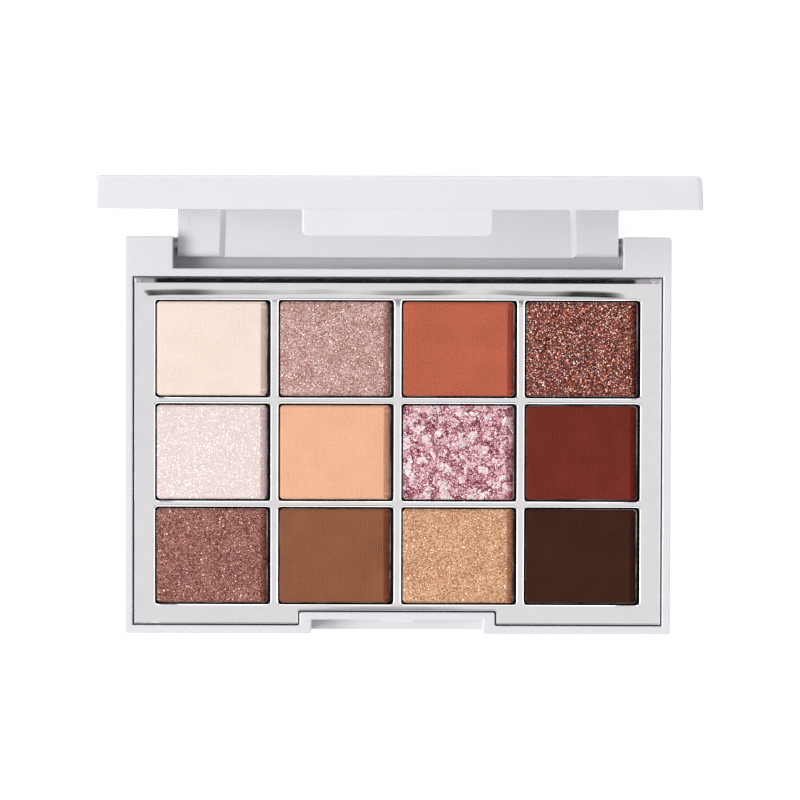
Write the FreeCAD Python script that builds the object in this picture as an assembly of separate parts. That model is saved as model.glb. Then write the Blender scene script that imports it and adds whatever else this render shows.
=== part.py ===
"""Hinged eyeshadow palette with twelve pans.

Units are millimetres. The origin is the centre of the base's underside, +X is to the
right, -Y is towards the user and +Z is up. The lid is modelled shut, and is then turned
about its hinge to the open position that the model rests in.
"""
import FreeCAD, Part
import os
from math import cos, radians, sin, tan

Vec = FreeCAD.Vector

# Base
BASE_W, BASE_D, BASE_H = 110.0, 80.0, 11.0
WALL = 1.7                      # side and front rim
FLOOR = 1.2
EDGE_R = 0.3                    # small rounding of moulded edges
BASE_CORNER_R = 0.6
BASE_BOTTOM_R = 0.48
LEDGE_W = 1.0                   # step that carries the tray
RIB_T = 1.0                     # ribs under the tray
ROOT = 0.1                      # how far a rib or a wedge reaches into the wall it stands on

# Hinge
TROUGH_W, TROUGH_D = 90.5, 6.45         # gap between the rear ears
TROUGH_FLOOR = 1.0
REAR_RIM = 1.6                          # wall between the trough and the tray
PIVOT_INSET, PIVOT_Z = 2.0, 3.2         # pivot from the rear face, and from the underside
BLOCK_W = 89.1                          # the lid's hinge block
BLOCK_FRONT = 3.4                       # inner face of the block, ahead of the pivot
BLOCK_TIP_R = 1.2
PIN_R, PIN_SET_IN, PIN_CHAMFER = 0.75, 0.3, 0.12
PIN_IN_BLOCK = 6.0
PIN_CLEARANCE = 0.05
BORE_END_GAP = 0.3
OPEN_ANGLE = 88.0                       # how far the lid is open in the model

# Thumb notch and catch
NOTCH_W, NOTCH_D = 34.5, 2.9
NOTCH_RIM, NOTCH_SIDE_RIM = 1.5, 2.45
NOTCH_CORNER_R, STEP_CORNER_R = 0.6, 0.4  # in plan: outer corners, and the step in the tray
LUG_W, LUG_OUT, LUG_H = 6.4, 0.7, 1.3
LUG_DROP = 1.5                          # top of the lug, below the rim
LUG_FLAT = (0.50, 0.73)                 # ends of the lug's upright face, as shares of its height

# Tray
TRAY_GAP = 0.2                          # between the tray and the base, all round
TRAY_SET_DOWN = 0.3                     # tray's face, below the rim
TRAY_H = 4.65
TRAY_SKIN = 1.0
TRAY_EDGE_R = 0.38
TRAY_SLOPE_D, TRAY_SLOPE_DROP = 1.1, 0.3    # slope along the tray's rear edge
WELL_W, WELL_D = 23.1, 19.5
WELL_GAP_X, WELL_GAP_Y = 1.7, 1.35
WELL_CORNER_R, WELL_EDGE_R = 0.6, 0.5
WELL_FLOOR = 0.8
ROWS, COLUMNS = 3, 4
WELLS_Y = -3.4                          # middle of the block of wells

# Pans and powder
PAN_W, PAN_D, PAN_H, PAN_T = 22.4, 19.0, 3.2, 0.22
PAN_CORNER_R, PAN_BOTTOM_R = 0.8, 0.15
PAN_SHIFT = -0.12                       # the pans are glued in a little left of their wells' middles
GLUE_T, GLUE_R = 0.15, 4.0
CAKE_GAP = 0.01                         # powder to pan wall
CAKE_RISE, CAKE_BEVEL = 0.35, 0.45      # height above the pan's rim, width of the bevel

# Lid
LID_H = 6.2
LID_SEAT_GAP = 0.1                      # between the two rims when shut
LID_DRAFT = 3.0
LID_EDGE_R, LID_CORNER_R = 1.2, 1.2
LID_CAVITY = 3.2                        # rim to the inner face
REAR_RELIEF, REAR_RELIEF_D = 0.35, 3.5  # clears the ears as the lid starts to turn
RECESS_DEPTH, RECESS_HALF = 1.1, 36.0   # shallow recess in the hinge block's inner face
RECESS_TAPER = 0.5
TAB_W, TAB_DROP, TAB_T = 34.2, 4.7, 2.15
TAB_SET_BACK, TAB_CORNER_R = 0.25, 1.1
TAB_ROOT = 1.2                          # how far the tab reaches up into the lid's wall
CATCH_W, CATCH_DEPTH = 7.4, 0.6         # recess in the tab that takes the lug
CATCH_DROP = 0.4                        # top of the recess, below the lid's rim
BEAD_OUT, BEAD_H, BEAD_UP = 0.15, 0.6, 0.35     # bead near the tab's tip
BEAD_FLAT = (0.4, 0.6)                  # ends of the bead's upright face, as shares of its height
EJECTOR_R, EJECTOR_DEPTH = 2.15, 0.06   # round marks on the hinge block
EJECTOR_OUT, EJECTOR_UP = 4.2, 7.5      # their centres, from the recess and from the block's free edge

# Mirror
MIRROR_W, MIRROR_D, MIRROR_T = 100.6, 66.8, 1.25
MIRROR_Y = -2.0
MIRROR_GAP, MIRROR_CORNER_R = 0.2, 1.5
ADHESIVE_T, ADHESIVE_INSET = 0.15, 2.3

# Worked out
HALF_W, HALF_D = BASE_W / 2, BASE_D / 2
PIVOT_Y = HALF_D - PIVOT_INSET
TROUGH_Y = HALF_D - TROUGH_D
POCKET_X = HALF_W - WALL
POCKET_FRONT, POCKET_REAR = -HALF_D + WALL, TROUGH_Y - REAR_RIM
NOTCH_Y = -HALF_D + NOTCH_D
STEP_X, STEP_Y = NOTCH_W / 2 + NOTCH_SIDE_RIM, NOTCH_Y + NOTCH_RIM
TRAY_TOP = BASE_H - TRAY_SET_DOWN
TRAY_BOTTOM = TRAY_TOP - TRAY_H
WELL_BOTTOM = TRAY_BOTTOM + WELL_FLOOR
PITCH_X, PITCH_Y = WELL_W + WELL_GAP_X, WELL_D + WELL_GAP_Y
WELLS_HALF_X = (COLUMNS * WELL_W + (COLUMNS - 1) * WELL_GAP_X) / 2
WELLS_HALF_Y = (ROWS * WELL_D + (ROWS - 1) * WELL_GAP_Y) / 2
PAN_BOTTOM = WELL_BOTTOM + GLUE_T
PAN_TOP = PAN_BOTTOM + PAN_H
LID_RIM = BASE_H + LID_SEAT_GAP
LID_TOP = LID_RIM + LID_H
BLOCK_Y = PIVOT_Y - BLOCK_FRONT
BLOCK_BOTTOM = PIVOT_Z - PIVOT_INSET
OVER = 1.0                              # how far a cutting tool runs past a face
ON_PLANE = 1e-4


def box(x0, x1, y0, y1, z0, z1):
    return Part.makeBox(x1 - x0, y1 - y0, z1 - z0, Vec(x0, y0, z0))


def rounded_outline(x0, x1, y0, y1, z, r):
    """Closed wire of a rectangle with round corners."""
    edges = []
    corners = [(x1 - r, y0 + r, 270), (x1 - r, y1 - r, 0), (x0 + r, y1 - r, 90), (x0 + r, y0 + r, 180)]
    for cx, cy, start in corners:
        circle = Part.Circle(Vec(cx, cy, z), Vec(0, 0, 1), r)
        edges.append(Part.Arc(circle, radians(start), radians(start + 90)).toShape())
    joined = []
    for i, edge in enumerate(edges):
        joined.append(edge)
        joined.append(Part.makeLine(edge.Vertexes[-1].Point, edges[(i + 1) % 4].Vertexes[0].Point))
    return Part.Wire(joined)


def rounded_box(x0, x1, y0, y1, z0, z1, r):
    outline = rounded_outline(x0, x1, y0, y1, z0, r)
    return Part.Face(outline).extrude(Vec(0, 0, z1 - z0))


def prism_along_x(points, x0, x1):
    """Solid with a straight-sided outline in Y and Z, from x0 to x1."""
    outline = Part.makePolygon([Vec(x0, y, z) for y, z in points + points[:1]])
    return Part.Face(outline).extrude(Vec(x1 - x0, 0, 0))


def wedge(wall_y, out, z0, height, flat, half_width):
    """Ridge with sloping sides on a wall at wall_y; out is signed, towards the open side."""
    buried = wall_y - ROOT * (1 if out > 0 else -1)
    outline = [(buried, z0), (wall_y, z0), (wall_y + out, z0 + height * flat[0]),
               (wall_y + out, z0 + height * flat[1]), (wall_y, z0 + height), (buried, z0 + height)]
    return prism_along_x(outline, -half_width, half_width)


def edges_at(shape, z):
    """Edges that lie wholly in the horizontal plane at z."""
    return [e for e in shape.Edges
            if abs(e.BoundBox.ZMin - z) < ON_PLANE and abs(e.BoundBox.ZMax - z) < ON_PLANE]


def upright_edges(shape):
    """Straight edges that run parallel to Z."""
    return [e for e in shape.Edges if e.BoundBox.XLength < ON_PLANE and e.BoundBox.YLength < ON_PLANE]


def well_centres():
    """Row, column and centre of each well, from the rear left one."""
    for row in range(ROWS):
        for column in range(COLUMNS):
            x = (column - (COLUMNS - 1) / 2) * PITCH_X
            y = WELLS_Y + ((ROWS - 1) / 2 - row) * PITCH_Y
            yield row + 1, column + 1, x, y


def stepped_block(grow, z0, z1):
    """The space inside the rim, with the step behind the thumb notch, grown sideways."""
    space = box(-POCKET_X - grow, POCKET_X + grow, POCKET_FRONT - grow, POCKET_REAR + grow, z0, z1)
    step = box(-STEP_X + grow, STEP_X - grow, POCKET_FRONT - grow - OVER, STEP_Y - grow,
               z0 - OVER, z1 + OVER)
    space = space.cut(step)
    corners = [e for e in upright_edges(space) if abs(e.BoundBox.XMin) < POCKET_X / 2]
    return space.makeFillet(STEP_CORNER_R, corners)


def support_ribs():
    """Ribs on the base's floor, under the walls between the wells."""
    low, high = FLOOR - ROOT, TRAY_BOTTOM
    x_end, y_front, y_rear = POCKET_X - LEDGE_W / 2, STEP_Y + LEDGE_W / 2, POCKET_REAR - LEDGE_W / 2
    ribs = []
    for column in range(COLUMNS - 1):
        x = (column - (COLUMNS - 2) / 2) * PITCH_X
        ribs.append(box(x - RIB_T / 2, x + RIB_T / 2, y_front, y_rear, low, high))
    for row in range(ROWS - 1):
        y = WELLS_Y + ((ROWS - 2) / 2 - row) * PITCH_Y
        ribs.append(box(-x_end, x_end, y - RIB_T / 2, y + RIB_T / 2, low, high))
    return ribs


def snap_lug():
    """Small wedge on the notch wall that the tab snaps over."""
    return wedge(NOTCH_Y, -LUG_OUT, BASE_H - LUG_DROP - LUG_H, LUG_H, LUG_FLAT, LUG_W / 2)


def base_shell():
    shell = rounded_box(-HALF_W, HALF_W, -HALF_D, HALF_D, 0, BASE_H, BASE_CORNER_R)
    shell = shell.makeFillet(BASE_BOTTOM_R, edges_at(shell, 0))
    shell = shell.cut(stepped_block(0, TRAY_BOTTOM, BASE_H + OVER))
    shell = shell.cut(stepped_block(-LEDGE_W, FLOOR, TRAY_BOTTOM + OVER))
    shell = shell.cut(box(-NOTCH_W / 2, NOTCH_W / 2, -HALF_D - OVER, NOTCH_Y, FLOOR, BASE_H + OVER))
    lips = [e for e in upright_edges(shell)
            if abs(abs(e.BoundBox.XMin) - NOTCH_W / 2) < ON_PLANE and e.BoundBox.YMin < -HALF_D + ON_PLANE]
    shell = shell.makeFillet(NOTCH_CORNER_R, lips)
    shell = shell.cut(box(-TROUGH_W / 2, TROUGH_W / 2, TROUGH_Y, HALF_D + OVER, TROUGH_FLOOR,
                          BASE_H + OVER))
    shell = shell.makeFillet(EDGE_R, edges_at(shell, BASE_H))
    shell = shell.fuse(support_ribs() + [snap_lug()])
    for side in (-1, 1):
        bore = Part.makeCylinder(PIN_R, HALF_W - TROUGH_W / 2 + 2 * OVER,
                                 Vec(side * (HALF_W + OVER), PIVOT_Y, PIVOT_Z), Vec(-side, 0, 0))
        shell = shell.cut(bore)
    return shell.removeSplitter()


def tray_insert():
    tray = stepped_block(-TRAY_GAP, TRAY_BOTTOM, TRAY_TOP)
    tray = tray.makeFillet(TRAY_EDGE_R, edges_at(tray, TRAY_TOP))
    tray = tray.cut(rear_slope())
    wells = [rounded_box(x - WELL_W / 2, x + WELL_W / 2, y - WELL_D / 2, y + WELL_D / 2,
                         WELL_BOTTOM, TRAY_TOP + OVER, WELL_CORNER_R)
             for _, _, x, y in well_centres()]
    tray = tray.cut(wells)
    rims = [e for e in edges_at(tray, TRAY_TOP) if inside_margin(e)]
    tray = tray.makeFillet(WELL_EDGE_R, rims)
    return tray.cut(underside_channel())


def rear_slope():
    """What the slope along the tray's rear edge takes away."""
    rear = POCKET_REAR - TRAY_GAP
    outline = [(rear - TRAY_SLOPE_D, TRAY_TOP), (rear, TRAY_TOP - TRAY_SLOPE_DROP),
               (rear + OVER, TRAY_TOP - TRAY_SLOPE_DROP), (rear + OVER, TRAY_TOP + OVER),
               (rear - TRAY_SLOPE_D, TRAY_TOP + OVER)]
    return prism_along_x(outline, -HALF_W, HALF_W)


def inside_margin(edge):
    """True for the edges of the wells, which lie inside the tray's margin."""
    b = edge.BoundBox
    reach_x, reach_y = WELLS_HALF_X + ON_PLANE, WELLS_HALF_Y + ON_PLANE
    return (b.XMin > -reach_x and b.XMax < reach_x
            and b.YMin > WELLS_Y - reach_y and b.YMax < WELLS_Y + reach_y)


def underside_channel():
    """Hollow in the tray's margin, open at the bottom."""
    half_x, half_y = WELLS_HALF_X + TRAY_SKIN, WELLS_HALF_Y + TRAY_SKIN
    space = stepped_block(-TRAY_GAP - TRAY_SKIN, TRAY_BOTTOM - OVER, TRAY_TOP - TRAY_SKIN)
    core = box(-half_x, half_x, WELLS_Y - half_y, WELLS_Y + half_y,
               TRAY_BOTTOM - 2 * OVER, TRAY_TOP + OVER)
    return space.cut(core)


def pan(x, y):
    """Pressed tray of thin sheet."""
    w, d, r = PAN_W / 2, PAN_D / 2, PAN_CORNER_R
    outer = rounded_box(x - w, x + w, y - d, y + d, PAN_BOTTOM, PAN_TOP, r)
    outer = outer.makeFillet(PAN_BOTTOM_R, edges_at(outer, PAN_BOTTOM))
    t = PAN_T
    inner = rounded_box(x - w + t, x + w - t, y - d + t, y + d - t, PAN_BOTTOM + t, PAN_TOP + OVER, r - t)
    return outer.cut(inner)


def cake(x, y):
    """Pressed powder that fills a pan and stands a little above its rim."""
    inset = PAN_T + CAKE_GAP
    w, d, r = PAN_W / 2 - inset, PAN_D / 2 - inset, PAN_CORNER_R - PAN_T
    body = rounded_box(x - w, x + w, y - d, y + d, PAN_BOTTOM + PAN_T, PAN_TOP, r)
    b = CAKE_BEVEL
    foot = rounded_outline(x - w, x + w, y - d, y + d, PAN_TOP, r)
    top = rounded_outline(x - w + b, x + w - b, y - d + b, y + d - b, PAN_TOP + CAKE_RISE, r + b)
    return body.fuse(Part.makeLoft([foot, top], True, True)).removeSplitter()


def glue_dots():
    dots = [Part.makeCylinder(GLUE_R, GLUE_T, Vec(x, y, WELL_BOTTOM)) for _, _, x, y in well_centres()]
    return Part.makeCompound(dots)


def lid_block():
    """Bar under the lid's rear edge that turns on the pins."""
    top = LID_RIM + LID_CAVITY
    corner = PIVOT_INSET * sin(radians(45))
    tip = BLOCK_TIP_R
    tip_mid = tip * (1 - cos(radians(45)))
    half = BLOCK_W / 2

    def at(y, z):
        return Vec(-half, y, z)

    outline = Part.Wire([
        Part.makeLine(at(HALF_D, top), at(HALF_D, PIVOT_Z)),
        Part.Arc(at(HALF_D, PIVOT_Z), at(PIVOT_Y + corner, PIVOT_Z - corner),
                 at(PIVOT_Y, BLOCK_BOTTOM)).toShape(),
        Part.makeLine(at(PIVOT_Y, BLOCK_BOTTOM), at(BLOCK_Y + tip, BLOCK_BOTTOM)),
        Part.Arc(at(BLOCK_Y + tip, BLOCK_BOTTOM), at(BLOCK_Y + tip_mid, BLOCK_BOTTOM + tip_mid),
                 at(BLOCK_Y, BLOCK_BOTTOM + tip)).toShape(),
        Part.makeLine(at(BLOCK_Y, BLOCK_BOTTOM + tip), at(BLOCK_Y, top)),
        Part.makeLine(at(BLOCK_Y, top), at(HALF_D, top))])
    return Part.Face(outline).extrude(Vec(BLOCK_W, 0, 0))


def block_recess():
    """Shallow recess with sloping sides, wider at the block's free edge."""
    low, high = BLOCK_BOTTOM - OVER, LID_RIM + LID_CAVITY

    def outline(z, half):
        points = [(-half, BLOCK_Y), (-half + RECESS_DEPTH, BLOCK_Y + RECESS_DEPTH),
                  (half - RECESS_DEPTH, BLOCK_Y + RECESS_DEPTH), (half, BLOCK_Y),
                  (half, BLOCK_Y - OVER), (-half, BLOCK_Y - OVER)]
        return Part.makePolygon([Vec(x, y, z) for x, y in points + points[:1]])

    return Part.makeLoft([outline(low, RECESS_HALF + RECESS_TAPER / 2),
                          outline(high, RECESS_HALF - RECESS_TAPER / 2)], True, True)


def tab():
    """Front tab with its corners rounded, standing down into the thumb notch."""
    front = -HALF_D + TAB_SET_BACK
    rear = front + TAB_T
    low, high, half = LID_RIM - TAB_DROP, LID_RIM + TAB_ROOT, TAB_W / 2
    plate = box(-half, half, front, rear, low, high)
    corners = [e for e in edges_at(plate, low) if e.BoundBox.XLength < ON_PLANE]
    plate = plate.makeFillet(TAB_CORNER_R, corners)
    rim = [e for e in plate.Edges
           if e.BoundBox.YLength < ON_PLANE and e.BoundBox.ZMin < high - ON_PLANE]
    plate = plate.makeFillet(EDGE_R, rim)
    inner = rear - CATCH_DEPTH
    catch = box(-CATCH_W / 2, CATCH_W / 2, inner, rear + OVER, low - OVER, LID_RIM - CATCH_DROP)
    bead = wedge(inner, BEAD_OUT, low + BEAD_UP, BEAD_H, BEAD_FLAT, CATCH_W / 2)
    return plate.cut(catch).fuse(bead)


def mirror_plate(grow, z0, z1):
    """Block of the mirror's outline, grown sideways."""
    w, d = MIRROR_W / 2 + grow, MIRROR_D / 2 + grow
    return rounded_box(-w, w, MIRROR_Y - d, MIRROR_Y + d, z0, z1, MIRROR_CORNER_R)


def lid_shell():
    lean = LID_H * tan(radians(LID_DRAFT))
    foot = rounded_outline(-HALF_W, HALF_W, -HALF_D, HALF_D, LID_RIM, LID_CORNER_R)
    top = rounded_outline(-HALF_W + lean, HALF_W - lean, -HALF_D + lean, HALF_D - lean, LID_TOP,
                          LID_CORNER_R)
    shell = Part.makeLoft([foot, top], True, True)
    shell = shell.makeFillet(LID_EDGE_R, edges_at(shell, LID_TOP))
    cavity_top = LID_RIM + LID_CAVITY
    shell = shell.cut(box(-POCKET_X, POCKET_X, POCKET_FRONT, BLOCK_Y, LID_RIM - OVER, cavity_top))
    shell = shell.makeFillet(EDGE_R, edges_at(shell, LID_RIM))
    shell = shell.cut(mirror_plate(MIRROR_GAP, cavity_top - OVER, cavity_top + MIRROR_T + ADHESIVE_T))
    for side in (-1, 1):
        x0, x1 = sorted((side * BLOCK_W / 2, side * (HALF_W + OVER)))
        shell = shell.cut(box(x0, x1, HALF_D - REAR_RELIEF_D, HALF_D + OVER, LID_RIM - OVER,
                              LID_RIM + REAR_RELIEF))
    shell = shell.fuse(lid_block()).cut(block_recess())
    shell = shell.fuse(tab())
    for side in (-1, 1):
        bore = Part.makeCylinder(PIN_R + PIN_CLEARANCE, PIN_IN_BLOCK + BORE_END_GAP + OVER,
                                 Vec(side * (BLOCK_W / 2 + OVER), PIVOT_Y, PIVOT_Z), Vec(-side, 0, 0))
        mark = Part.makeCylinder(EJECTOR_R, EJECTOR_DEPTH + OVER,
                                 Vec(side * (RECESS_HALF + EJECTOR_OUT), BLOCK_Y - OVER,
                                     BLOCK_BOTTOM + EJECTOR_UP), Vec(0, 1, 0))
        shell = shell.cut([bore, mark])
    return shell.removeSplitter()


def hinge_pin(side):
    outer = HALF_W - PIN_SET_IN
    inner = BLOCK_W / 2 - PIN_IN_BLOCK
    pin = Part.makeCylinder(PIN_R, outer - inner, Vec(side * inner, PIVOT_Y, PIVOT_Z), Vec(side, 0, 0))
    return pin.makeChamfer(PIN_CHAMFER, [e for e in pin.Edges if e.BoundBox.XLength < ON_PLANE])


def mirror():
    low = LID_RIM + LID_CAVITY
    return mirror_plate(0, low, low + MIRROR_T)


def mirror_adhesive():
    low = LID_RIM + LID_CAVITY + MIRROR_T
    return mirror_plate(-ADHESIVE_INSET, low, low + ADHESIVE_T)


def opened(shape):
    """Turn a piece of the shut lid to the open position."""
    turned = shape.copy()
    turned.rotate(Vec(0, PIVOT_Y, PIVOT_Z), Vec(-1, 0, 0), OPEN_ANGLE)
    return turned


def all_pieces():
    pieces = {"base_shell": base_shell(), "tray_insert": tray_insert(), "pan_glue_dots": glue_dots(),
              "hinge_pin_left": hinge_pin(-1), "hinge_pin_right": hinge_pin(1),
              "lid_shell": opened(lid_shell()), "mirror": opened(mirror()),
              "mirror_adhesive": opened(mirror_adhesive())}
    for row, column, x, y in well_centres():
        pieces[f"pan_r{row}c{column}"] = pan(x + PAN_SHIFT, y)
        pieces[f"powder_r{row}c{column}"] = cake(x + PAN_SHIFT, y)
    return pieces


os.makedirs("parts", exist_ok=True)
for name, shape in all_pieces().items():
    assert shape.isValid(), name
    shape.exportStep(f"parts/{name}.step")
    print(f"{name}: {len(shape.Solids)} solid(s), {shape.Volume / 1000:.3f} cm3")
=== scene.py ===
import math

import bpy
import numpy as np
from mathutils import Matrix, Vector


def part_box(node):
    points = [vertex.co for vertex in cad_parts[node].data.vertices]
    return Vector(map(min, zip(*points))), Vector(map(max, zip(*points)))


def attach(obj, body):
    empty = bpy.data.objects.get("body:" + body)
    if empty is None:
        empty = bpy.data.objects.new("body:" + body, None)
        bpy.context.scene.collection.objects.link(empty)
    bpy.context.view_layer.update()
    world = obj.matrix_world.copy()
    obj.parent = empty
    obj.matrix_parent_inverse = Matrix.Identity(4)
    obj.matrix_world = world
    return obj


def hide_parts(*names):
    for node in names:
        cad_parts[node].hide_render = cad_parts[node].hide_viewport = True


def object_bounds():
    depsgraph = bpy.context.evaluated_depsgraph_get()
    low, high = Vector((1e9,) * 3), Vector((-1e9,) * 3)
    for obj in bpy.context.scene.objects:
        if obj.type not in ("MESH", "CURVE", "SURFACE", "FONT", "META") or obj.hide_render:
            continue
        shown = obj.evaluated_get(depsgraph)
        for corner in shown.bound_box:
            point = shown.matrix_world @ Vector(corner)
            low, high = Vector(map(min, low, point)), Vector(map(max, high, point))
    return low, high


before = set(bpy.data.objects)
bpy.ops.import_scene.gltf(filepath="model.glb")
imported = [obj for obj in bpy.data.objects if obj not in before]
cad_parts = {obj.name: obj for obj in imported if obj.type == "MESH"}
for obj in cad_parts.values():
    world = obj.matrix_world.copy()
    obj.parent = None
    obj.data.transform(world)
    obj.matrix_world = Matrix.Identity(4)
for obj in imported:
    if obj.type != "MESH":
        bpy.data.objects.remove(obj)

# Looks of an open eyeshadow palette, in metres. The plastic, chrome, pans, pins, mirror, tape and
# glue are the CAD nodes with better materials. The twelve powder cakes are new meshes that replace
# their nodes.
CAD_BOX = [list(corner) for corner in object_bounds()]

MM = 0.001
PER_MM = 1000.0             # texture scale of one feature to a millimetre

# Camera, high above the rear half of the base, looking down and a little towards the front
RIM_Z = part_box("base_shell")[1].z
VIEW_FROM = Vector((0.8 * MM, 24.5 * MM, RIM_Z + 655.6 * MM))
VIEW_TO = Vector((0.48 * MM, 7.2 * MM, RIM_Z))
VIEW_ROLL = math.radians(0.16)
VIEW_WIDTH = 160.9 * MM     # width of the view at the rim
SENSOR = 36.0               # millimetres, as a camera takes them

# Each side of a cake slopes down, deep into its pan on the right: width of the slope, and its fall.
# On the other three sides the powder is pressed out over the pan's rim.
SLOPE_LEFT = (0.30 * MM, 0.26 * MM)
SLOPE_RIGHT = (1.25 * MM, 0.95 * MM)
SLOPE_REAR = (0.40 * MM, 0.30 * MM)
SLOPE_FRONT = (0.30 * MM, 0.28 * MM)
SPREAD = 0.15 * MM          # how far it is pressed out past its pan's inner wall
OVER_RIM = 0.02 * MM        # least thickness of that powder, and its clearance from the rim
CAKE_CORNER = 0.65 * MM
SLOPE_SHADE_SHARE = 0.4             # painted shade: how far the deep right slope is darkened towards the powder's pure hue
LINE_PITCH = 0.33 * MM      # lines that the pressing cloth leaves in a matte cake
LINE_DEPTH = 0.024 * MM
FLAKES = 320                # in the cake of crushed foil

# Painted shade: the tray's chrome turns dark between these two depths below its face, and so does
# a pan's metal below its rim, for the dark gaps around the pans
TRAY_SHADE_DEPTHS = (0.17 * MM, 0.42 * MM)
PAN_SHADE_DEPTHS = (0.05 * MM, 0.25 * MM)

# Sink marks in the tray. The valley runs along the rear and left margins, and fades out towards
# the right end. Its heights are given at shares of its reach, from the tray's edge inwards.
VALLEY = [(0.0, 1.0), (0.39, 1.0), (0.55, 0.35), (0.67, 0.0), (0.81, 0.5), (0.95, 1.0)]
VALLEY_REACH, VALLEY_DEPTH = 6.0 * MM, 0.35 * MM
VALLEY_LEFT_IN = 0.9 * MM                       # how much nearer to the edge it is on the left
VALLEY_TURN = 1.6 * MM                          # softness of the corner
VALLEY_FADE = (2 * MM, 12 * MM)                 # from the tray's right edge
DIP_WIDTH, DIP_DEPTH = 2.6 * MM, 0.16 * MM      # fall towards the step in the front margin
DIP_FADE = (6 * MM, 36 * MM)                    # to each side of the middle

# Studio, in metres and watts
KEY_PLACE = (-1.14, -0.18, 1.59)
KEY_SIZE, KEY_WATTS = 0.9, 28.3
KEY_TINT = (1.0, 0.99, 0.98)
FLOOR_HALF = 3.0
FLOOR_GLOW = 0.8            # what the paper gives off to the camera and to shiny faces
FLOOR_DROP = 0.02 * MM      # below the object, so that no two faces coincide

# Room as matte faces get it: from the front, from the middle, and what the rear and right add
ROOM_FRONT, ROOM_MIDDLE, REAR_MORE, RIGHT_MORE = 0.45, 0.42, 0.35, 0.25
ROOM_TINT = (0.98, 0.965, 1.0, 1.0)

# Room as shiny faces see it: walls, a dimmer ceiling, what is added low down, darker gaps at the
# corners, and a dark patch overhead that leans to the front
WALL, CEILING, LOW_MORE, GAP = 1.6, 0.8, 1.5, 0.3
DARK_LEAN, DARK_CORE, DARK_EDGE = math.radians(30), math.radians(8), math.radians(19)
SHINE_TINT = (1.0, 0.99, 0.985, 1.0)
WHITE = (1.0, 1.0, 1.0, 1.0)


def colour(red, green, blue):
    """Display values from 0 to 255 as the linear colour that a shader takes."""
    return [((v / 255 + 0.055) / 1.055) ** 2.4 if v > 10 else v / 255 / 12.92
            for v in (red, green, blue)] + [1.0]


# ---------------------------------------------------------------- materials

class Nodes:
    """The node tree of a material or world, with short calls for what is used here."""

    def __init__(self, tree):
        self.tree = tree

    def add(self, kind, inputs=(), **settings):
        node = self.tree.nodes.new("ShaderNode" + kind)
        for name, value in settings.items():
            setattr(node, name, value)
        for name, value in dict(inputs).items():
            self.feed(node.inputs[name], value)
        return node

    def feed(self, socket, value):
        if isinstance(value, bpy.types.NodeSocket):
            self.tree.links.new(value, socket)
        else:
            socket.default_value = value

    def math(self, operation, *values):
        node = self.add("Math", operation=operation)
        for socket, value in zip(node.inputs, values):
            self.feed(socket, value)
        return node.outputs[0]

    def vector_math(self, operation, a, b=(0.0, 0.0, 0.0)):
        node = self.add("VectorMath", operation=operation)
        self.feed(node.inputs[0], a)
        self.feed(node.inputs[1], b)
        return node.outputs["Value" if operation == "DOT_PRODUCT" else "Vector"]

    def stretched(self, vector, x=1.0, y=1.0, z=1.0):
        return self.vector_math("MULTIPLY", vector, (x, y, z))

    def noise(self, vector, per_mm, detail=2.0, roughness=0.5):
        node = self.add("TexNoise", {"Vector": vector, "Scale": per_mm * PER_MM, "Detail": detail,
                                     "Roughness": roughness})
        return node.outputs[0]

    def cells(self, vector, per_mm):
        """One random colour to each cell."""
        return self.add("TexVoronoi", {"Vector": vector, "Scale": per_mm * PER_MM}).outputs["Color"]

    def channel(self, value, name):
        return self.add("SeparateColor", {"Color": value}).outputs[name]

    def ranged(self, value, low, high, to_low=0.0, to_high=1.0, kind="LINEAR"):
        inputs = {"Value": value, "From Min": low, "From Max": high, "To Min": to_low, "To Max": to_high}
        return self.add("MapRange", inputs, interpolation_type=kind).outputs["Result"]

    def above(self, place, top, band):
        """1 near the top, and 0 below it, between the two depths of the band."""
        height = self.add("SeparateXYZ", {"Vector": place}).outputs["Z"]
        return self.ranged(height, top - band[1], top - band[0])

    def ramp(self, value, stops, interpolation="LINEAR"):
        node = self.add("ValToRGB", {"Fac": value})
        node.color_ramp.interpolation = interpolation
        points = node.color_ramp.elements
        while len(points) < len(stops):
            points.new(1.0)
        for point, (place, shade) in zip(points, stops):
            point.position = place
            point.color = shade
        return node.outputs["Color"]

    def mix(self, share, a, b, blend="MIX"):
        node = self.add("Mix", data_type="RGBA", blend_type=blend)
        for index, value in ((0, share), (6, a), (7, b)):
            self.feed(node.inputs[index], value)
        return node.outputs[2]

    def bump(self, height, depth, normal=None):
        inputs = {"Height": height, "Distance": depth, "Strength": 1.0}
        if normal is not None:
            inputs["Normal"] = normal
        return self.add("Bump", inputs).outputs["Normal"]


def new_material(name, **sockets):
    """A material with some sockets set, its nodes, its shader and the place on its object."""
    material = bpy.data.materials.new(name)
    material.use_nodes = True
    nodes = Nodes(material.node_tree)
    shader = material.node_tree.nodes["Principled BSDF"]
    for socket, value in sockets.items():
        shader.inputs[socket.replace("_", " ")].default_value = value
    place = nodes.add("TexCoord").outputs["Object"]
    return material, nodes, shader, place


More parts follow.
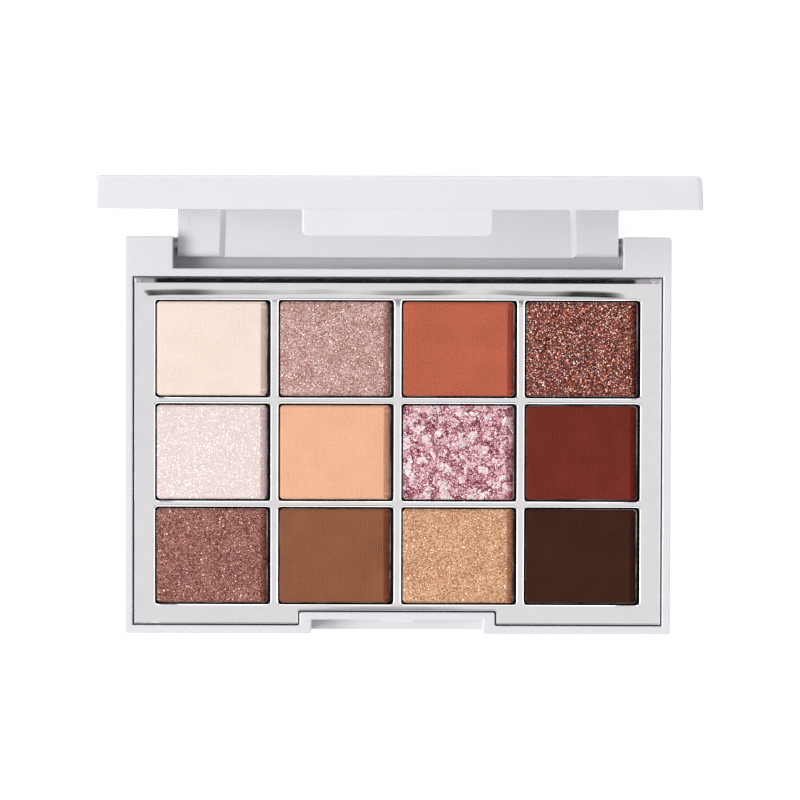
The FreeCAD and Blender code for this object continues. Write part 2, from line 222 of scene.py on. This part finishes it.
def shell_plastic():
    """Polished white moulding with a faint lavender cast, slight flow marks and fine scratches."""
    material, net, shader, place = new_material(
        "shell_plastic", IOR=1.49, Coat_Weight=0.5, Coat_Roughness=0.05, Subsurface_Weight=0.25,
        Subsurface_Radius=(1.0, 0.9, 1.1), Subsurface_Scale=1.2 * MM)
    cloud = net.noise(place, 0.04, 2.0)
    tint = net.ramp(cloud, [(0.3, colour(227, 226, 230)), (0.7, colour(230, 229, 233))])
    scratch = net.noise(net.stretched(place, 0.25, 6.0, 1.0), 0.9, 3.0, 0.6)
    net.feed(shader.inputs["Base Color"], tint)
    net.feed(shader.inputs["Roughness"], net.ranged(net.noise(place, 0.4, 4.0), 0.3, 0.7, 0.12, 0.2))
    skin = net.bump(net.noise(place, 0.1, 2.0), 0.006 * MM)
    net.feed(shader.inputs["Normal"], net.bump(scratch, 0.0004 * MM, skin))
    return material


def tray_chrome():
    """Plated moulding, a little wavy. Down in the wells its colour turns dark, as painted shade, and the
    chrome rougher.
    """
    material, net, shader, place = new_material("tray_chrome", Metallic=1.0)
    low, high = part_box("tray_insert")
    unshaded_top = net.above(place, high.z, TRAY_SHADE_DEPTHS)
    haze = net.noise(place, 0.3, 3.0)
    plate = net.ramp(haze, [(0.3, colour(240, 240, 243)), (0.7, colour(246, 245, 246))])
    # Painted shade: near black chrome below the face, for the dark gaps around the pans
    net.feed(shader.inputs["Base Color"], net.mix(unshaded_top, colour(58, 56, 58), plate))
    net.feed(shader.inputs["Roughness"], net.math("ADD", net.ranged(haze, 0.3, 0.7, 0.04, 0.08),
                                                  net.ranged(unshaded_top, 0.0, 1.0, 0.3, 0.0)))
    net.feed(shader.inputs["Normal"], tray_waves(net, place, low, high))
    return material


def tray_waves(net, place, low, high):
    """Sink marks: a valley along the rear and left margins, a fall at the front step, and soft waves."""
    axes = net.add("SeparateXYZ", {"Vector": place})
    x, y = axes.outputs["X"], axes.outputs["Y"]
    drift = net.noise(net.stretched(place, 1.0, 0.25, 1.0), 0.035, 1.0)
    shift = net.ranged(drift, 0.2, 0.8, -0.5 * MM, 0.5 * MM)
    from_rear = net.math("SUBTRACT", high.y, net.math("ADD", y, shift))
    from_left = net.math("ADD", net.math("ADD", net.math("SUBTRACT", x, low.x), shift), VALLEY_LEFT_IN)
    inward = net.math("SMOOTH_MIN", from_rear, from_left, VALLEY_TURN)
    stops = [(share, (height, height, height, 1.0)) for share, height in VALLEY]
    valley = net.ramp(net.ranged(inward, 0.0, VALLEY_REACH), stops, "B_SPLINE")
    near_end, inner_end = VALLEY_FADE
    present = net.ranged(x, high.x - inner_end, high.x - near_end, 1.0, 0.0, "SMOOTHSTEP")
    valley = net.mix(present, WHITE, valley)
    along = net.ranged(net.noise(net.stretched(place, 1.0, 0.3, 1.0), 0.045, 1.0), 0.35, 0.65, 0.45, 1.0)
    before_pans = net.math("SUBTRACT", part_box("pan_r3c1")[0].y, y)
    dip = net.ranged(before_pans, 0.0, DIP_WIDTH, 0.0, -DIP_DEPTH / VALLEY_DEPTH, "SMOOTHSTEP")
    middle = net.ranged(net.math("ABSOLUTE", x), *DIP_FADE, 1.0, 0.0)
    marks = net.math("ADD", net.math("MULTIPLY", valley, along), net.math("MULTIPLY", dip, middle))
    facet = net.add("NewGeometry").outputs["True Normal"]
    waves = net.bump(net.noise(place, 0.05, 1.0, 0.4), 0.14 * MM, facet)
    return net.bump(marks, VALLEY_DEPTH, waves)


def pan_aluminium():
    """Pressed sheet with a patchy bright rim. Its walls are painted dark, as shade, and carry drawing
    marks.
    """
    material, net, shader, place = new_material("pan_aluminium", Metallic=1.0)
    bright = net.above(place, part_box("pan_r1c1")[1].z, PAN_SHADE_DEPTHS)
    drawn = net.noise(net.stretched(place, 1.0, 1.0, 0.08), 5.0, 3.0, 0.6)
    patch = net.noise(place, 0.16, 3.0, 0.6)
    rim = net.ramp(patch, [(0.42, colour(62, 60, 60)), (0.66, colour(150, 149, 149))])
    # Painted shade: the walls below the rim are near black, so that they merge into the dark gap
    net.feed(shader.inputs["Base Color"], net.mix(bright, colour(52, 51, 51), rim))
    net.feed(shader.inputs["Roughness"], net.ranged(drawn, 0.3, 0.7, 0.18, 0.38))
    net.feed(shader.inputs["Normal"], net.bump(drawn, 0.01 * MM))
    return material


def pin_steel():
    """Drawn wire: rings of fine turning marks."""
    material, net, shader, place = new_material("pin_steel", Metallic=1.0)
    marks = net.noise(net.stretched(place, 14.0, 1.0, 1.0), 1.0, 3.0, 0.6)
    net.feed(shader.inputs["Base Color"],
             net.ramp(marks, [(0.3, colour(150, 150, 153)), (0.7, colour(196, 195, 194))]))
    net.feed(shader.inputs["Roughness"], net.ranged(marks, 0.3, 0.7, 0.2, 0.42))
    net.feed(shader.inputs["Normal"], net.bump(marks, 0.012 * MM))
    return material


def mirror_glass():
    """Silvered glass with a trace of dust."""
    material, net, shader, place = new_material("mirror_glass", Metallic=1.0)
    dust = net.ranged(net.noise(place, 2.4, 4.0, 0.7), 0.62, 0.8)
    smear = net.noise(net.stretched(place, 1.0, 0.4, 1.0), 0.05, 3.0)
    glass = net.ramp(smear, [(0.3, colour(226, 233, 231)), (0.7, colour(233, 238, 237))])
    blur = net.math("ADD", dust, net.math("MULTIPLY", smear, 0.2))
    net.feed(shader.inputs["Base Color"], net.mix(dust, glass, colour(205, 206, 208)))
    net.feed(shader.inputs["Roughness"], net.ranged(blur, 0.0, 1.2, 0.008, 0.12))
    return material


def adhesive_sheet():
    """Fibrous white double-sided tape."""
    material, net, shader, place = new_material("adhesive_sheet")
    fibre = net.noise(net.stretched(place, 1.0, 5.0, 1.0), 1.2, 4.0, 0.65)
    net.feed(shader.inputs["Base Color"],
             net.ramp(fibre, [(0.3, colour(222, 219, 208)), (0.7, colour(240, 239, 233))]))
    net.feed(shader.inputs["Roughness"], net.ranged(fibre, 0.3, 0.7, 0.6, 0.85))
    net.feed(shader.inputs["Normal"], net.bump(fibre, 0.02 * MM))
    return material


def cured_glue():
    """Translucent yellowish glue."""
    material, net, shader, place = new_material("cured_glue")
    lumps = net.noise(place, 0.8, 3.0)
    net.feed(shader.inputs["Base Color"],
             net.ramp(lumps, [(0.3, colour(214, 202, 170)), (0.7, colour(233, 226, 204))]))
    net.feed(shader.inputs["Roughness"], net.ranged(lumps, 0.3, 0.7, 0.15, 0.35))
    net.feed(shader.inputs["Normal"], net.bump(lumps, 0.05 * MM))
    return material


def painted_in_slope_shade(net, shade, body):
    """Painted shade: the colour multiplied towards the powder's own hue on the deep right slope,
    standing in for light bouncing in there.
    """
    tone = colour(*body)[:3]
    hue = [v / max(tone) for v in tone] + [1.0]
    slope_shade_mask = net.add("Attribute", attribute_name="slope_shade_mask").outputs["Fac"]
    return net.mix(net.math("MULTIPLY", slope_shade_mask, SLOPE_SHADE_SHARE), shade, hue, "MULTIPLY")


def matte_powder(name, body):
    """Dry pressed pigment: soft mottling, fine grains, and grooves from the pressing cloth, painted
    darker as shade.
    """
    material, net, shader, place = new_material(name, Sheen_Weight=0.04, Sheen_Roughness=0.5,
                                                Specular_IOR_Level=0.12)
    tone = colour(*body)
    spread = 0.1 / math.sqrt(tone[1] + 0.05)        # grains show more in a dark powder
    darker = [v * (1 - spread) for v in tone[:3]] + [1.0]
    lighter = [min(v * (1 + spread), 1.0) for v in tone[:3]] + [1.0]
    mottle = net.noise(place, 0.25, 4.0, 0.6)
    grain = net.noise(place, 3.6, 2.0, 0.7)
    groove = net.add("Attribute", attribute_name="tint").outputs["Fac"]
    level = net.math("ADD", net.ranged(grain, 0.32, 0.68), net.ranged(mottle, 0.3, 0.7, -0.12, 0.12))
    # Painted shade: the grooves, read from the tint attribute, darken the colour
    level = net.math("SUBTRACT", net.math("MULTIPLY", level, 0.8), net.math("MULTIPLY", groove, 1.1))
    level = net.math("ADD", level, 0.6)
    shade = net.ramp(level, [(0.0, darker), (1.0, lighter)])
    net.feed(shader.inputs["Base Color"], painted_in_slope_shade(net, shade, body))
    net.feed(shader.inputs["Roughness"], net.ranged(grain, 0.3, 0.7, 0.78, 0.95))
    net.feed(shader.inputs["Normal"], net.bump(grain, 0.015 * MM))
    return material


def leaning(net, flake, tilt):
    """Surface normal, turned a different way in each flake."""
    lean = net.stretched(net.vector_math("SUBTRACT", flake, (0.5, 0.5, 0.5)), tilt, tilt, 0.0)
    normal = net.vector_math("ADD", net.add("NewGeometry").outputs["Normal"], lean)
    return net.vector_math("NORMALIZE", normal)


def pearl_powder(name, deep, body, pale, sparks, spark_share=0.07, tilt=0.4, reach=0.2, grit=0.6):
    """Shimmering powder: a fine wormy grain of pearl, in which single metallic flakes flash.

    The smaller the reach of the ramp, the stronger the contrast. The more grit, the finer the grain.
    """
    material, net, shader, place = new_material(name, Specular_IOR_Level=0.2)
    flake = net.cells(place, 6.2)
    bright, hue, choice = (net.channel(flake, c) for c in ("Red", "Green", "Blue"))
    grain = net.ranged(net.noise(place, 4.6, 1.5, 0.6), 0.36, 0.64)
    drift = net.ranged(net.noise(place, 0.3, 3.0, 0.6), 0.3, 0.7, -0.08, 0.08)
    level = net.math("ADD", net.math("MULTIPLY", grain, 1 - grit), net.math("MULTIPLY", bright, grit))
    level = net.math("ADD", level, drift)
    shade = net.ramp(level, [(0.5 - reach, colour(*deep)), (0.5, colour(*body)),
                             (0.5 + reach, colour(*pale))])
    spark = net.ramp(hue, [(i / len(sparks), colour(*tone)) for i, tone in enumerate(sparks)],
                     "CONSTANT")
    flash = net.math("GREATER_THAN", choice, 1.0 - spark_share)
    net.feed(shader.inputs["Base Color"], painted_in_slope_shade(net, net.mix(flash, shade, spark), body))
    net.feed(shader.inputs["Metallic"], net.math("MULTIPLY", flash, 0.8))
    net.feed(shader.inputs["Roughness"], net.ranged(bright, 0.0, 1.0, 0.5, 0.28))
    net.feed(shader.inputs["Normal"], leaning(net, flake, tilt))
    return material


def foil_powder(name):
    """Crushed foil: pale flakes over a pink and burgundy granular ground, with the crevices between
    flakes painted darker as shade.
    """
    material, net, shader, place = new_material(name, Specular_IOR_Level=0.25)
    body = (206, 138, 148)
    tint = net.add("Attribute", attribute_name="tint").outputs["Fac"]
    flake = net.cells(place, 5.4)
    bright, hue, choice = (net.channel(flake, c) for c in ("Red", "Green", "Blue"))
    grain = net.ranged(net.noise(place, 4.2, 2.0, 0.7), 0.3, 0.7, -0.42, 0.42)
    level = net.math("ADD", net.math("ADD", tint, grain), net.ranged(bright, 0.0, 1.0, -0.28, 0.28))
    shade = net.ramp(level, [(0.0, colour(92, 28, 42)), (0.2, colour(160, 80, 94)),
                             (0.46, colour(*body)), (0.74, colour(240, 200, 207)),
                             (1.0, colour(250, 243, 243))])
    spark = net.ramp(hue, [(0.0, colour(255, 246, 246)), (0.5, colour(250, 212, 220)),
                           (0.72, colour(110, 44, 58))], "CONSTANT")
    flash = net.math("GREATER_THAN", choice, 0.88)
    net.feed(shader.inputs["Base Color"], painted_in_slope_shade(net, net.mix(flash, shade, spark), body))
    net.feed(shader.inputs["Metallic"], net.math("MULTIPLY", flash, 0.6))
    net.feed(shader.inputs["Roughness"], net.ranged(tint, 0.2, 0.9, 0.5, 0.25))
    net.feed(shader.inputs["Normal"], leaning(net, flake, 0.4))
    return material


# ---------------------------------------------------------------- powder cakes

def smooth_field(x, y, size, random):
    """A random field from -1 to 1 with bumps of the given size."""
    u, v = (x - x.min()) / size, (y - y.min()) / size
    grid = random.uniform(-1, 1, (int(u.max()) + 2, int(v.max()) + 2))
    i, j = u.astype(int), v.astype(int)
    f, g = u - i, v - j
    f, g = f * f * (3 - 2 * f), g * g * (3 - 2 * g)
    return ((grid[i, j] * (1 - f) + grid[i + 1, j] * f) * (1 - g)
            + (grid[i, j + 1] * (1 - f) + grid[i + 1, j + 1] * f) * g)


def matte_relief(x, y, random):
    """Fine lines along Y that fade in and out, on a slightly uneven face."""
    lines = np.cos(2 * math.pi * x / LINE_PITCH)
    strength = 0.75 + 0.25 * smooth_field(x, y, 4 * MM, random)
    uneven = smooth_field(x, y, 5 * MM, random)
    groove = strength * (0.5 - 0.5 * lines)
    # The groove mask also goes out as the tint, which paints shade into the grooves
    return 0.012 * MM * uneven - LINE_DEPTH * groove - 0.015 * MM, groove


def grainy(fine, coarse, drop):
    """A relief of fine grains on coarse ones, each given by size and height, a drop below the top."""
    def relief(x, y, random):
        height = sum(rise * smooth_field(x, y, size, random) for size, rise in (fine, coarse))
        return height - drop, np.zeros_like(x)
    return relief


def foil_relief(x, y, random):
    """Crushed flakes, each lying at its own angle, with crevices between them, painted darker as shade.
    """
    bend_x = x + 0.45 * MM * smooth_field(x, y, 0.8 * MM, random)
    bend_y = y + 0.45 * MM * smooth_field(x, y, 0.8 * MM, random)
    centre_x = random.uniform(x.min(), x.max(), FLAKES)
    centre_y = random.uniform(y.min(), y.max(), FLAKES)
    shine = random.beta(1.1, 1.5, FLAKES)
    lean = random.normal(0, 0.14, (FLAKES, 2))
    away = np.hypot(bend_x.ravel()[:, None] - centre_x, bend_y.ravel()[:, None] - centre_y)
    order = np.argpartition(away, 1, axis=1)[:, :2]
    near = np.take_along_axis(away, order, axis=1)
    swap = near[:, 0] > near[:, 1]
    owner = np.where(swap, order[:, 1], order[:, 0]).reshape(x.shape)
    gap = np.abs(near[:, 1] - near[:, 0]).reshape(x.shape)
    tilted = lean[owner, 0] * (bend_x - centre_x[owner]) + lean[owner, 1] * (bend_y - centre_y[owner])
    crevice = np.exp(-gap / (0.06 * MM))
    grain = smooth_field(x, y, 0.24 * MM, random) * (1 - 0.7 * shine[owner])
    height = 0.10 * MM * shine[owner] + tilted - 0.13 * MM * crevice + 0.045 * MM * grain - 0.2 * MM
    # Painted shade: the tint drops in the crevices, which turns them burgundy
    tint = 0.16 + shine[owner] * 0.9 + 0.16 * smooth_field(x, y, 0.5 * MM, random) - 0.45 * crevice
    return np.minimum(height, 0.0), np.clip(tint, 0, 1)


def spaced(low, high, step, edge, edge_step):
    """Coordinates from low to high, closer together near both ends."""
    start = np.arange(low, low + edge, edge_step)
    count = max(2, round((high - low - 2 * edge) / step) + 1)
    return np.concatenate([start, np.linspace(low + edge, high - edge, count), low + high - start[::-1]])


def fall(distance, slope):
    """How far a side's slope lies below the top, at a distance from that side."""
    width, drop = slope
    return -drop * np.clip(1 - distance / width, 0, 1)


def round_corners(x, y, low, high, radius):
    """Squeeze the square corner of each corner patch on to a quarter circle."""
    middle_x, middle_y = (low.x + high.x) / 2, (low.y + high.y) / 2
    reach_x, reach_y = (high.x - low.x) / 2 - radius, (high.y - low.y) / 2 - radius
    u = np.clip((np.abs(x - middle_x) - reach_x) / radius, 0, 1)
    v = np.clip((np.abs(y - middle_y) - reach_y) / radius, 0, 1)
    inside_x = np.minimum(np.abs(x - middle_x), reach_x)
    inside_y = np.minimum(np.abs(y - middle_y), reach_y)
    return (middle_x + np.sign(x - middle_x) * (inside_x + radius * u * np.sqrt(1 - v * v / 2)),
            middle_y + np.sign(y - middle_y) * (inside_y + radius * v * np.sqrt(1 - u * u / 2)))


def cake(name, node, relief, x_step, y_step, facets, seed):
    """Closed mesh of one pressed cake: a worked top face, and plain walls down to the pan's floor."""
    in_low, in_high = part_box(node)
    low = Vector((in_low.x - SPREAD, in_low.y - SPREAD, in_low.z))
    high = Vector((in_high.x, in_high.y + SPREAD, in_high.z))
    rim_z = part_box("pan_r1c1")[1].z + OVER_RIM
    random = np.random.default_rng(seed)
    edge, edge_step = 1.0 * MM, 0.1 * MM
    xs = spaced(low.x, high.x, x_step, edge, min(x_step, edge_step))
    ys = spaced(low.y, high.y, y_step, edge, min(y_step, edge_step))
    x, y = np.meshgrid(xs, ys, indexing="ij")
    worn = 0.05 * MM * smooth_field(x, y, 1.3 * MM, random)
    right = fall(high.x - x + worn, SLOPE_RIGHT)
    sides = np.minimum.reduce([fall(x - low.x + worn, SLOPE_LEFT), right,
                               fall(high.y - y + worn, SLOPE_REAR), fall(y - low.y + worn, SLOPE_FRONT)])
    # Painted shade: mask of the deep right slope, where the powder is darkened towards its own hue
    slope_shade_mask = np.clip(-right / (0.3 * SLOPE_RIGHT[1]), 0, 1)
    height, tint = relief(x, y, random)
    z = high.z + sides + height
    x, y = round_corners(x, y, low, high, CAKE_CORNER)
    on_rim = (x < in_low.x) | (y < in_low.y) | (y > in_high.y)
    z = np.where(on_rim, np.maximum(z, rim_z + OVER_RIM), z)
    top = np.stack([x, y, z], axis=-1).reshape(-1, 3)
    columns, rows = len(xs), len(ys)
    index = np.arange(columns * rows).reshape(columns, rows)
    quads = np.stack([index[:-1, :-1], index[1:, :-1], index[1:, 1:], index[:-1, 1:]], axis=-1)
    rim = np.concatenate([index[:-1, 0], index[-1, :-1], index[:0:-1, -1], index[0, :0:-1]])
    neck = top[rim].copy()
    neck[:, 0] = np.clip(neck[:, 0], in_low.x, in_high.x)
    neck[:, 1] = np.clip(neck[:, 1], in_low.y, in_high.y)
    neck[:, 2] = np.minimum(neck[:, 2] - OVER_RIM, rim_z)
    foot = neck.copy()
    foot[:, 2] = low.z
    necks = len(top) + np.arange(len(rim))
    feet = necks + len(rim)
    walls = [np.stack([a, b, np.roll(b, -1), np.roll(a, -1)], axis=-1).tolist()
             for a, b in ((rim, necks), (necks, feet))]
    mesh = bpy.data.meshes.new(name)
    mesh.from_pydata(np.vstack([top, neck, foot]).tolist(), [],
                     quads.reshape(-1, 4).tolist() + walls[0] + walls[1] + [feet[::-1].tolist()])
    mesh.polygons.foreach_set("use_smooth", [not facets] * len(mesh.polygons))
    if not facets:
        mesh.set_sharp_from_angle(angle=math.radians(60))
    for title, values, below in (("tint", tint, 0.3), ("slope_shade_mask", slope_shade_mask, 0.0)):
        points = np.concatenate([values.ravel(), np.full(2 * len(rim), below)])
        attribute = mesh.attributes.new(title, "FLOAT", "POINT")
        attribute.data.foreach_set("value", points.astype(np.float32))
    piece = bpy.data.objects.new(name, mesh)
    bpy.context.scene.collection.objects.link(piece)
    return piece


MATTE = dict(relief=matte_relief, x_step=LINE_PITCH / 4, y_step=0.5 * MM, facets=False)
PEARL = dict(relief=grainy((0.28 * MM, 0.026 * MM), (0.9 * MM, 0.01 * MM), 0.04 * MM),
             x_step=0.15 * MM, y_step=0.15 * MM, facets=True)
GLITTER = dict(relief=grainy((0.2 * MM, 0.05 * MM), (0.7 * MM, 0.02 * MM), 0.09 * MM),
               x_step=0.13 * MM, y_step=0.13 * MM, facets=True)
FOIL = dict(relief=foil_relief, x_step=0.11 * MM, y_step=0.11 * MM, facets=True)


def powder_finishes():
    """The shape and the material of each cake, from the rear left one."""
    return {
        "r1c1": (MATTE, matte_powder("cream_matte", (245, 225, 211))),
        "r1c2": (PEARL, pearl_powder("dusty_rose_shimmer", (146, 93, 85), (188, 142, 133),
                                     (232, 202, 194), [(255, 236, 228), (172, 118, 112)])),
        "r1c3": (MATTE, matte_powder("terracotta_matte", (185, 97, 73))),
        "r1c4": (GLITTER, pearl_powder("copper_brown_glitter", (30, 4, 2), (74, 24, 14),
                                       (170, 90, 68), [(255, 222, 204), (198, 142, 158),
                                                       (222, 138, 110), (44, 10, 7)],
                                       spark_share=0.2, tilt=0.6, reach=0.2, grit=0.65)),
        "r2c1": (PEARL, pearl_powder("pale_pink_shimmer", (222, 200, 196), (236, 217, 213),
                                     (246, 233, 230), [(253, 244, 242)], tilt=0.2,
                                     reach=0.24)),
        "r2c2": (MATTE, matte_powder("peach_matte", (237, 181, 148))),
        "r2c3": (FOIL, foil_powder("pink_foil")),
        "r2c4": (MATTE, matte_powder("maroon_matte", (110, 42, 32))),
        "r3c1": (PEARL, pearl_powder("mauve_brown_shimmer", (84, 34, 28), (136, 82, 71),
                                     (190, 137, 122), [(232, 190, 175), (112, 64, 58)])),
        "r3c2": (MATTE, matte_powder("mid_brown_matte", (139, 87, 60))),
        "r3c3": (PEARL, pearl_powder("peach_gold_shimmer", (164, 100, 66), (202, 145, 111),
                                     (240, 203, 167), [(255, 234, 188), (188, 126, 94)])),
        "r3c4": (MATTE, matte_powder("dark_brown_matte", (58, 31, 21))),
    }


def add_cakes():
    for seed, (cell, (shape, material)) in enumerate(powder_finishes().items(), start=1):
        node = "powder_" + cell
        piece = cake("cake_" + cell, node, seed=seed, **shape)
        piece.data.materials.append(material)
        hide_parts(node)
        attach(piece, "base")


# ---------------------------------------------------------------- CAD nodes

def dress(node_names, material):
    for name in node_names:
        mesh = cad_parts[name].data
        mesh.materials.clear()
        mesh.materials.append(material)


def dress_cad_nodes():
    pans = [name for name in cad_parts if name.startswith("pan_r")]
    dress(["base_shell", "lid_shell"], shell_plastic())
    dress(["tray_insert"], tray_chrome())
    dress(pans, pan_aluminium())
    dress(["pan_glue_dots"], cured_glue())
    dress(["hinge_pin_left", "hinge_pin_right"], pin_steel())
    dress(["mirror"], mirror_glass())
    dress(["mirror_adhesive"], adhesive_sheet())


# ---------------------------------------------------------------- studio

def add_camera():
    forward = (VIEW_TO - VIEW_FROM).normalized()
    right = forward.cross(Vector((0, 1, 0))).normalized()
    up = right.cross(forward)
    turned_right = right * math.cos(VIEW_ROLL) + up * math.sin(VIEW_ROLL)
    turned_up = up * math.cos(VIEW_ROLL) - right * math.sin(VIEW_ROLL)
    data = bpy.data.cameras.new("camera")
    data.sensor_width = SENSOR
    data.lens = SENSOR * (VIEW_TO - VIEW_FROM).length / VIEW_WIDTH
    data.clip_start, data.clip_end = 0.01, 20.0
    camera = bpy.data.objects.new("camera", data)
    camera.matrix_world = (Matrix.Translation(VIEW_FROM)
                           @ Matrix((turned_right, turned_up, -forward)).transposed().to_4x4())
    bpy.context.scene.collection.objects.link(camera)
    bpy.context.scene.camera = camera


def add_key_light():
    """A soft box on the left, flagged so that it doesn't light the chrome tray."""
    data = bpy.data.lights.new("key", "AREA")
    data.shape, data.size, data.energy, data.color = "SQUARE", KEY_SIZE, KEY_WATTS, KEY_TINT
    light = bpy.data.objects.new("key", data)
    light.location = KEY_PLACE
    light.rotation_euler = (-Vector(KEY_PLACE)).to_track_quat("-Z", "Y").to_euler()
    bpy.context.scene.collection.objects.link(light)
    flagged = bpy.data.collections.new("key_flagged")
    flagged.objects.link(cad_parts["tray_insert"])
    light.light_linking.receiver_collection = flagged
    flagged.collection_objects[0].light_linking.link_state = "EXCLUDE"


def shiny_room(net, way, x, y, z):
    """Brightness that shiny faces see in each direction."""
    walls = net.ranged(z, 0.5, 0.88, WALL, CEILING)
    height = net.math("ADD", walls, net.ranged(z, 0.1, 0.4, LOW_MORE, 0.0))
    level_part = net.math("SUBTRACT", 1.001, net.math("MULTIPLY", z, z))
    diagonal = net.math("DIVIDE", net.math("MULTIPLY", x, y), level_part)       # half, at a corner
    gap = net.ranged(net.math("ABSOLUTE", diagonal), 0.35, 0.47, 1.0, GAP)
    gap = net.mix(net.ranged(z, 0.6, 0.8), gap, WHITE)
    centre = (0.0, -math.sin(DARK_LEAN), math.cos(DARK_LEAN))
    toward = net.vector_math("DOT_PRODUCT", way, centre)
    dark = net.ranged(toward, math.cos(DARK_EDGE), math.cos(DARK_CORE), 1.0, 0.01)
    return net.math("MULTIPLY", net.math("MULTIPLY", gap, height), dark)


def soft_room(net, x, y):
    """Brightness that matte faces get from each direction."""
    soft = net.math("ADD", net.ranged(y, -1.0, 0.3, ROOM_FRONT, ROOM_MIDDLE),
                    net.ranged(y, 0.3, 1.0, 0.0, REAR_MORE))
    return net.math("ADD", soft, net.ranged(x, 0.3, 1.0, 0.0, RIGHT_MORE))


def add_world():
    """White room. Light that reaches a matte face by way of a shiny one counts as soft."""
    world = bpy.data.worlds.new("studio")
    world.use_nodes = True
    bpy.context.scene.world = world
    net = Nodes(world.node_tree)
    background = world.node_tree.nodes["Background"]
    way = net.add("TexCoord").outputs["Generated"]
    path = net.add("LightPath")
    axes = net.add("SeparateXYZ", {"Vector": way})
    x, y, z = (axes.outputs[name] for name in "XYZ")
    not_by_matte = net.math("LESS_THAN", path.outputs["Diffuse Depth"], 0.5)
    glossy = net.math("MULTIPLY", path.outputs["Is Glossy Ray"], not_by_matte)
    level = net.mix(glossy, soft_room(net, x, y), shiny_room(net, way, x, y, z))
    level = net.math("MAXIMUM", level, path.outputs["Is Camera Ray"])
    net.feed(background.inputs["Color"], net.mix(glossy, ROOM_TINT, SHINE_TINT))
    net.feed(background.inputs["Strength"], level)


def add_floor():
    """Pale paper that looks white to the camera and in the mirror, without a glow on matte faces."""
    material, net, shader, place = new_material("floor_paper", Specular_IOR_Level=0.1,
                                                Emission_Color=WHITE)
    from_matte = net.add("LightPath").outputs["Is Diffuse Ray"]
    net.feed(shader.inputs["Emission Strength"], net.ranged(from_matte, 0.0, 1.0, FLOOR_GLOW, 0.0))
    paper = net.noise(place, 0.05, 3.0)
    net.feed(shader.inputs["Base Color"],
             net.ramp(paper, [(0.3, colour(198, 197, 200)), (0.7, colour(203, 202, 205))]))
    net.feed(shader.inputs["Roughness"], net.ranged(paper, 0.3, 0.7, 0.7, 0.8))
    corners = [(x * FLOOR_HALF, y * FLOOR_HALF, 0) for x, y in ((-1, -1), (1, -1), (1, 1), (-1, 1))]
    mesh = bpy.data.meshes.new("floor")
    mesh.from_pydata(corners, [], [(0, 1, 2, 3)])
    mesh.materials.append(material)
    floor = bpy.data.objects.new("floor", mesh)
    floor.location.z = CAD_BOX[0][2] - FLOOR_DROP
    bpy.context.scene.collection.objects.link(floor)


dress_cad_nodes()
add_cakes()
add_camera()
add_world()
add_key_light()
add_floor()
bpy.context.scene.view_settings.view_transform = "Standard"
